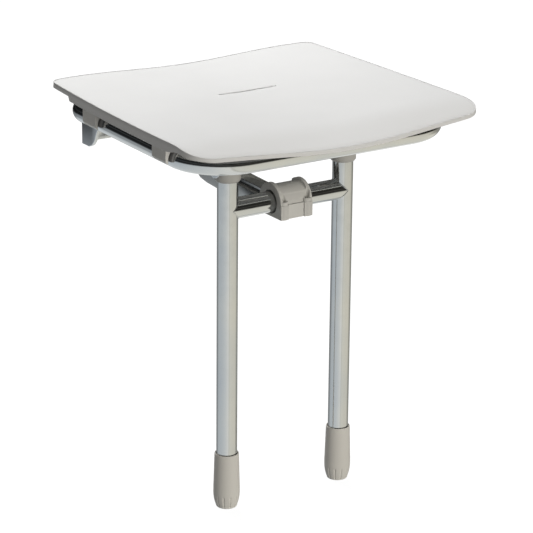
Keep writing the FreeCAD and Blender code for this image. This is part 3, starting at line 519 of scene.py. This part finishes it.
# ---------------------------------------------------------------- underside of the seat, in mm
RIB_WIDTH, RIB_TOP, RIB_DEPTH, RIB_ROUND = 2.4, 2.6, 8.0, 0.8
RIBS_LONG, RIBS_LONG_REACH = (-120, -60, 60, 120), (-296, -60)
RIBS_CROSS, RIBS_CROSS_HALF = (-288.8, -204.8, -120.8, -64.8), 165
CLIP_X, CLIP_OUT = 145.0, (("front", 276.0), ("rear", 117.5))
BOSS_Z, BOSS_OFFSETS = 54.0, (-10, 10)      # height of the bosses' lower ends, places along a clip


def rib(name, start, end, steps=40):
    """A stiffening rib under the skin, with a rounded lower edge and slightly drafted sides."""
    start, end = Vector(start), Vector(end)
    side = Vector((end.y - start.y, start.x - end.x)).normalized()
    section = [(-0.5, RIB_TOP), (-0.44, RIB_DEPTH - RIB_ROUND), (-0.25, RIB_DEPTH),
               (0.25, RIB_DEPTH), (0.44, RIB_DEPTH - RIB_ROUND), (0.5, RIB_TOP)]
    loops = []
    for k in range(steps + 1):
        spot = start.lerp(end, k / steps)
        top = seat_height(spot.x, spot.y)
        loop = []
        for across, down in section:
            at = spot + side * across * RIB_WIDTH
            loop.append(Vector((at.x, at.y, top - down)) * MM)
        loops.append(loop)
    mesh_piece(name, loops, "seat", SEAT, "seat_plastic", capped=True)


def make_underside():
    """Ribs under the skin, and screw bosses over the clips."""
    for k, x in enumerate(RIBS_LONG):
        rib(f"seat_rib_long_{k}", (x, RIBS_LONG_REACH[0]), (x, RIBS_LONG_REACH[1]))
    for k, y in enumerate(RIBS_CROSS):
        rib(f"seat_rib_cross_{k}", (-RIBS_CROSS_HALF, y), (RIBS_CROSS_HALF, y))
    boss = rounded([(1.8, 0), (4.5, 0), (4.5, 5.0), (6.2, 7.4), (1.8, 7.4)], 0.6)
    for end, out in CLIP_OUT:
        for side, sign in SIDES:
            for k, offset in enumerate(BOSS_OFFSETS):
                centre = (sign * CLIP_X * MM, (offset - out) * MM, BOSS_Z * MM)
                lathe(f"seat_boss_{end}_{side}_{k}", boss, centre, "seat", SEAT, "seat_plastic", 32)


# ---------------------------------------------------------------- tubes, in mm
TUBE, TUBE_IN = 12.5, 11.0                  # outer and inner radius
REAR_BEND, FRONT_BEND = 30.0, 58.0          # bend radii of the ring's centre line
HINGE = Vector((0.0, *frame["joints"][0]["pos_m"][1:]))


def upright_tube(label):
    """A straight upright tube with lightly broken edges."""
    low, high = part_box(label)
    middle = (low + high) / 2
    length = (high.z - low.z) / MM
    broken, rows = 0.35, 40
    profile = [(TUBE_IN + broken, 0), (TUBE - broken, 0), (TUBE, broken)]
    profile += [(TUBE, broken + (length - 2 * broken) * k / rows) for k in range(1, rows)]
    profile += [(TUBE, length - broken), (TUBE - broken, length)]
    profile += [(TUBE_IN + broken, length), (TUBE_IN, length - broken), (TUBE_IN, broken)]
    tube = lathe(label + "_drawn", profile, (middle.x, middle.y, low.z), NODES[label]["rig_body"],
                 STEEL_UPRIGHT, SLOT_OF[label], 72)
    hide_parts(label)


def ring_path(half, depth):
    """The ring's centre line in its own plane, as (place, way) pairs; the hinge line is at y = 0."""
    path = []
    rear_x, front_x = half - REAR_BEND, half - FRONT_BEND
    rear_y, front_y = -REAR_BEND, -depth + FRONT_BEND

    def run(a, b, steps=24):
        a, b = Vector(a), Vector(b)
        for k in range(steps):
            path.append((a.lerp(b, k / steps), (b - a).normalized()))

    def bend(x, y, radius, heading, steps=20):
        for k in range(steps):
            a = math.radians(heading - 90 * k / steps)
            place = Vector((x + radius * math.cos(a), y + radius * math.sin(a)))
            path.append((place, Vector((math.sin(a), -math.cos(a)))))

    run((-rear_x, 0), (rear_x, 0))
    bend(rear_x, rear_y, REAR_BEND, 90)
    run((half, rear_y), (half, front_y))
    bend(front_x, front_y, FRONT_BEND, 0)
    run((front_x, -depth), (-front_x, -depth))
    bend(-front_x, front_y, FRONT_BEND, -90)
    run((-half, front_y), (-half, rear_y))
    bend(-rear_x, rear_y, REAR_BEND, 180)
    return path


def make_ring():
    """The bent ring of tube under the seat, swept round its centre line and falling to the front."""
    low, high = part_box("seat_frame")
    depth = (high.y / MM - TUBE) - (low.y / MM + TUBE)
    fall = (HINGE.z / MM - (low.z / MM + TUBE)) / depth
    tilt = Matrix.Rotation(math.atan(fall), 3, "X")
    segments = 64
    up = Vector((0, 0, 1))
    loops = []
    for centre, along in ring_path(high.x / MM - TUBE, depth):
        side = Vector((-along.y, along.x, 0))
        loop = []
        for k in range(segments):
            a = TAU * k / segments
            local = centre.to_3d() + (side * math.cos(a) + up * math.sin(a)) * TUBE
            loop.append(HINGE + (tilt @ local) * MM)
        loops.append(loop)
    ring = mesh_piece("seat_frame_bent", loops, "seat", STEEL_RING, "tube_steel", 60.0)
    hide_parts("seat_frame")


def cope(y, z, square):
    """How far from the axis of a passing tube its surface is, at y and z off the coped tube's axis.

    square is the row axis at right angles to both tubes."""
    off = y if square == "Y" else z
    return math.sqrt(max(TUBE ** 2 - off ** 2, 0.0))


def coped_tube(label, middle, reach, square):
    """A tube along X whose ends are coped to round tubes that pass at plus and minus reach."""
    rows, section, sunk = 40, 96, 0.15
    loops = []
    for radius, steps in ((TUBE, range(rows + 1)), (TUBE_IN, reversed(range(rows + 1)))):
        for k in steps:
            loop = []
            for j in range(section):
                a = TAU * j / section
                y, z = radius * math.cos(a), radius * math.sin(a)
                end = reach - cope(y, z, square) + sunk
                loop.append(middle + Vector((end * (2 * k / rows - 1), y, z)) * MM)
            loops.append(loop)
    tube = mesh_piece(label + "_coped", loops, NODES[label]["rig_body"], STEEL_ACROSS, "tube_steel", 40.0)
    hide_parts(label)


def weld_bead(name, crossing, sign, square, body):
    """A slightly uneven fillet of weld round the end of a coped tube.

    crossing is where the two tubes' axes meet, and sign is the side of the seat it is on."""
    bead, stand_off, sunk = 0.65, 0.3, 0.1
    steps, section = 120, 10
    along = Vector((-sign, 0, 0))
    loops = []
    for k in range(steps):
        a = TAU * k / steps
        out = Vector((0, sign * math.cos(a), math.sin(a)))
        stand = cope(TUBE * out.y, TUBE * out.z, square) + stand_off
        size = bead * (1 + 0.10 * math.sin(23 * a) + 0.06 * math.sin(9 * a + 1.0))
        middle = crossing + (along * stand + out * (TUBE - sunk)) * MM
        loop = []
        for j in range(section):
            b = TAU * j / section
            loop.append(middle + (out * math.cos(b) + along * math.sin(b)) * size * MM)
        loops.append(loop)
    mesh_piece(name, loops, body, STEEL_RING, "tube_steel", 60.0)


def make_tubes():
    """The ring, the legs, and the tubes welded across them."""
    make_ring()
    for side, _sign in SIDES:
        upright_tube(f"leg_tube_{side}")
    leg_low, leg_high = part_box("leg_tube_right")
    leg_x = (leg_low + leg_high).x / 2 / MM
    ring_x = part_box("seat_frame")[1].x / MM - TUBE
    crossing_tubes = (("crossbar", leg_x, "Y", "legs"), ("cross_tube", ring_x, "Z", "seat"))
    for label, reach, square, body in crossing_tubes:
        low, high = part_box(label)
        middle = (low + high) / 2
        coped_tube(label, middle, reach, square)
        for side, sign in SIDES:
            crossing = Vector((sign * reach * MM, middle.y, middle.z))
            weld_bead(f"{label}_weld_{side}", crossing, sign, square, body)


# ---------------------------------------------------------------- feet, in mm
GROOVES, GROOVE_DEPTH, GROOVE_HALF = 12, 0.9, 0.14       # half width as a share of the spacing
GROOVE_LOW, GROOVE_LOW_FADE = 1.0, 1.2
GROOVE_HIGH, GROOVE_HIGH_FADE = 17.0, 2.2


def foot_swell(angle, height):
    """Grip grooves round the lowest part of a foot."""
    phase = (angle * GROOVES / TAU) % 1.0 - 0.5
    groove = max(0.0, 1 - (phase / GROOVE_HALF) ** 2)
    fade = smooth_step(GROOVE_HIGH - height, 0.0, GROOVE_HIGH_FADE)
    fade *= smooth_step(height, GROOVE_LOW, GROOVE_LOW + GROOVE_LOW_FADE)
    return -GROOVE_DEPTH * math.sqrt(groove) * fade


def foot_profile():
    """A ferrule in section: sole, rounded toe, bulge, long taper, rim, and the bore for leg and pad."""
    sole, toe, toe_height, bulge, bulge_height = 11.0, 1.8, 2.0, 3.2, 18.0
    taper_from, taper_low, taper_height, taper, steps = 15.75, 32.0, 36.1, 1.05, 24
    bore, bore_low, rod_bore, pad_bore, pad_height = 13.2, 13.0, 5.3, 10.0, 3.0
    profile = [(pad_bore, 0.6), (10.4, 0.0), (sole, 0.0)]
    profile += [(sole + toe * sine, toe_height * (1 - cosine)) for sine, cosine in quarter_turn(8)[1:]]
    profile += [(sole + toe + bulge * (1 - (1 - k / steps) ** 2.2), toe_height + bulge_height * k / steps)
                for k in range(1, steps + 1)]
    profile += [(15.98, 24.0), (15.9, 28.0), (taper_from, taper_low)]
    profile += [(taper_from - taper * k / 8, taper_low + taper_height * k / 8) for k in range(1, 9)]
    profile += [(14.5, 69.1), (14.1, 69.6), (13.4, 69.6), (bore, 69.3), (bore, 60.0), (bore, bore_low)]
    profile += [(6.0, bore_low), (rod_bore, bore_low), (rod_bore, pad_height), (pad_bore, pad_height)]
    return profile


def make_feet():
    """Ribbed plastic ferrules; each holds a rubber disc let into its underside."""
    for side, _sign in SIDES:
        low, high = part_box(f"foot_sleeve_{side}")
        middle = (low + high) / 2
        foot = lathe(f"foot_sleeve_{side}_ribbed", foot_profile(), (middle.x, middle.y, FLOOR),
                     f"foot_{side}", FOOT, "foot_plastic", GROOVES * 24, foot_swell, 40.0)
        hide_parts(f"foot_sleeve_{side}")


# ---------------------------------------------------------------- plates, mouldings and hardware
def soften_edges():
    """Rounds the edges of the parts that keep their CAD shape; widths are in mm."""
    soft = [
        ("wall_plate", 0.6, BRACKET), ("link_arm", 0.9, ARM),
        ("link_clamp_top", 0.9, SHADED_JOINT), ("link_clamp_cap", 0.9, SHADED_JOINT),
        ("link_pivot_bolt", 0.5, HARDWARE), ("link_pivot_nut", 0.5, HARDWARE),
    ]
    for side, _sign in SIDES:
        soft += [(f"hinge_ear_{side}", 0.7, BRACKET), (f"link_lug_{side}", 0.6, BRACKET),
                 (f"leg_hanger_{side}", 0.6, BRACKET), (f"leg_cap_{side}", 0.9, SHADED_COLLAR),
                 (f"leg_pivot_pin_{side}", 0.5, HARDWARE)]
        soft += [(f"seat_clip_{end}_{side}", 0.9, CLIP) for end, _out in CLIP_OUT]
    for label, width, material in soft:
        softened(label, width, material)


# ---------------------------------------------------------------- studio, in metres
VIEW_FROM = (-1.5760, -2.6091, 0.8384)
VIEW_YAW, VIEW_PITCH, VIEW_ROLL = (math.radians(angle) for angle in (33.28, 18.979, 0.511))
LENS, SENSOR = 170.73, 36.0
FLOOR_REACH, FLOOR_GLOW = 12.0, 0.96
FILL_COLOUR, FILL_STRENGTH = (1.0, 0.985, 0.95, 1), 0.18


def make_floor():
    """A white floor that takes soft shadows and is not seen in the metal."""
    mesh = bpy.data.meshes.new("floor")
    corners = [(x * FLOOR_REACH, y * FLOOR_REACH, FLOOR) for x, y in ((-1, -1), (1, -1), (1, 1), (-1, 1))]
    mesh.from_pydata(corners, [], [(0, 1, 2, 3)])
    floor = bpy.data.objects.new("floor", mesh)
    bpy.context.scene.collection.objects.link(floor)
    m = Maker("pale_floor").set(Specular_IOR_Level=0.0)
    cloud = m.noise(2.0, 2.0)
    colour = m.clouded(cloud, (0.11, 0.11, 0.11), (0.13, 0.13, 0.13))
    m.set(Emission_Color=(1, 1, 1, 1), Emission_Strength=FLOOR_GLOW)
    floor.data.materials.append(m.done(colour, m.ranged(cloud, 0.9, 1.0)))
    floor.visible_glossy = False
    floor.visible_diffuse = False


def area_light(name, place, aim, size, power, colour=(1, 1, 1)):
    """A rectangular light that is not seen in the metal; size is its width and height."""
    data = bpy.data.lights.new(name, "AREA")
    data.shape = "RECTANGLE"
    data.size, data.size_y = size
    data.energy = power
    data.color = colour
    lamp = bpy.data.objects.new(name, data)
    lamp.location = place
    lamp.rotation_euler = (Vector(aim) - Vector(place)).to_track_quat("-Z", "Y").to_euler()
    lamp.visible_glossy = False
    bpy.context.scene.collection.objects.link(lamp)


def make_lights():
    """A large light above and behind, and a warm one low in front."""
    area_light("overhead", place=(0.25, 1.25, 1.70), aim=(0, -0.2, 0), size=(1.6, 1.6), power=66.0)
    area_light("front", place=(0.2, -2.4, 0.05), aim=(0, -0.2, -0.2), size=(1.2, 1.0), power=23.0,
               colour=(1.0, 0.965, 0.89))


def ramp_of(nodes, links, value, stops):
    """A colour ramp over a value from -1 to 1; stops are (value, colour)."""
    raised = nodes.new("ShaderNodeMapRange")
    raised.inputs["From Min"].default_value = -1.0
    links.new(value, raised.inputs["Value"])
    ramp = nodes.new("ShaderNodeValToRGB")
    elements = ramp.color_ramp.elements
    for position, colour in stops[1:-1]:
        elements.new((position + 1) / 2).color = (*colour, 1)
    elements[0].color = (*stops[0][1], 1)
    elements[len(elements) - 1].color = (*stops[-1][1], 1)
    links.new(raised.outputs["Result"], ramp.inputs["Fac"])
    return ramp.outputs["Color"]


def greys(*stops):
    """Stops of a ramp in plain greys, from (value, level) pairs."""
    return [(value, (level, level, level)) for value, level in stops]


def directed(nodes, links, place, way):
    """How far a ray points along a direction, from -1 to 1."""
    dot = nodes.new("ShaderNodeVectorMath")
    dot.operation = "DOT_PRODUCT"
    links.new(place, dot.inputs[0])
    dot.inputs[1].default_value = way
    return dot.outputs["Value"]


def blended(nodes, links, kind, first, second):
    """Two colours joined by a kind of blend at full strength."""
    node = nodes.new("ShaderNodeMix")
    node.data_type = "RGBA"
    node.blend_type = kind
    node.inputs[SHARE].default_value = 1.0
    links.new(first, node.inputs[FIRST])
    links.new(second, node.inputs[SECOND])
    return node.outputs[RESULT]


def room_colour(nodes, links):
    """What the metal mirrors: a dark room over a bright low band, cooler to the left, dim to the wall."""
    place = nodes.new("ShaderNodeTexCoord").outputs["Generated"]
    sideways = directed(nodes, links, place, (math.cos(VIEW_YAW), -math.sin(VIEW_YAW), 0))
    backward = directed(nodes, links, place, (-math.sin(VIEW_YAW), -math.cos(VIEW_YAW), 0))
    height = directed(nodes, links, place, (0, 0, 1))
    hue = ramp_of(nodes, links, sideways, (
        (-1, (0.60, 0.65, 0.69)), (-0.25, (0.76, 0.79, 0.80)), (0.30, (0.93, 0.93, 0.89)),
        (0.37, (0.66, 0.65, 0.60)), (0.45, (0.85, 0.84, 0.76)), (1, (0.85, 0.82, 0.72))))
    rear = ramp_of(nodes, links, backward, greys((-1, 0.30), (-0.55, 0.45), (-0.2, 0.95), (1, 1.0)))
    room = ramp_of(nodes, links, height, greys(
        (-1, 1.0), (-0.30, 1.0), (-0.17, 0.05), (0.05, 0.03), (0.12, 0.12), (0.19, 0.03), (1, 0.05)))
    ground = ramp_of(nodes, links, height, greys((-1, 1.0), (-0.52, 1.0), (-0.38, 0.30), (1, 0.0)))
    around = blended(nodes, links, "MULTIPLY", hue, blended(nodes, links, "LIGHTEN", rear, ground))
    return blended(nodes, links, "MULTIPLY", around, room)


def make_world():
    """White to the camera, a dim fill to matt surfaces, and a room in the metal."""
    world = bpy.data.worlds.new("studio")
    world.use_nodes = True
    nodes, links = world.node_tree.nodes, world.node_tree.links
    nodes.clear()
    room = nodes.new("ShaderNodeBackground")
    links.new(room_colour(nodes, links), room.inputs["Color"])
    fill = nodes.new("ShaderNodeBackground")
    fill.inputs["Color"].default_value = FILL_COLOUR
    fill.inputs["Strength"].default_value = FILL_STRENGTH
    backdrop = nodes.new("ShaderNodeBackground")
    backdrop.inputs["Color"].default_value = (1, 1, 1, 1)
    seen = nodes.new("ShaderNodeLightPath")
    shiny, shown = nodes.new("ShaderNodeMixShader"), nodes.new("ShaderNodeMixShader")
    links.new(seen.outputs["Is Glossy Ray"], shiny.inputs[0])
    links.new(fill.outputs[0], shiny.inputs[1])
    links.new(room.outputs[0], shiny.inputs[2])
    links.new(seen.outputs["Is Camera Ray"], shown.inputs[0])
    links.new(shiny.outputs[0], shown.inputs[1])
    links.new(backdrop.outputs[0], shown.inputs[2])
    links.new(shown.outputs[0], nodes.new("ShaderNodeOutputWorld").inputs["Surface"])
    bpy.context.scene.world = world


def make_camera():
    """The camera, from a place and three turns: yaw to the right, pitch down and a slight roll."""
    ahead = Vector((math.sin(VIEW_YAW) * math.cos(VIEW_PITCH), math.cos(VIEW_YAW) * math.cos(VIEW_PITCH),
                    -math.sin(VIEW_PITCH)))
    level = Vector((math.cos(VIEW_YAW), -math.sin(VIEW_YAW), 0))
    upright = level.cross(ahead)
    right = level * math.cos(VIEW_ROLL) + upright * math.sin(VIEW_ROLL)
    up = upright * math.cos(VIEW_ROLL) - level * math.sin(VIEW_ROLL)
    data = bpy.data.cameras.new("camera")
    data.sensor_width = SENSOR
    data.lens = LENS
    data.clip_end = 50.0
    camera = bpy.data.objects.new("camera", data)
    rows = [(right[i], up[i], -ahead[i]) for i in range(3)]
    camera.matrix_world = Matrix.Translation(VIEW_FROM) @ Matrix(rows).to_4x4()
    bpy.context.scene.collection.objects.link(camera)
    bpy.context.scene.camera = camera


# ---------------------------------------------------------------- build
repaint_cad_nodes()
make_seat()
make_underside()
make_tubes()
make_feet()
soften_edges()
make_floor()
make_world()
make_lights()
make_camera()
bpy.context.scene.view_settings.view_transform = "Standard"
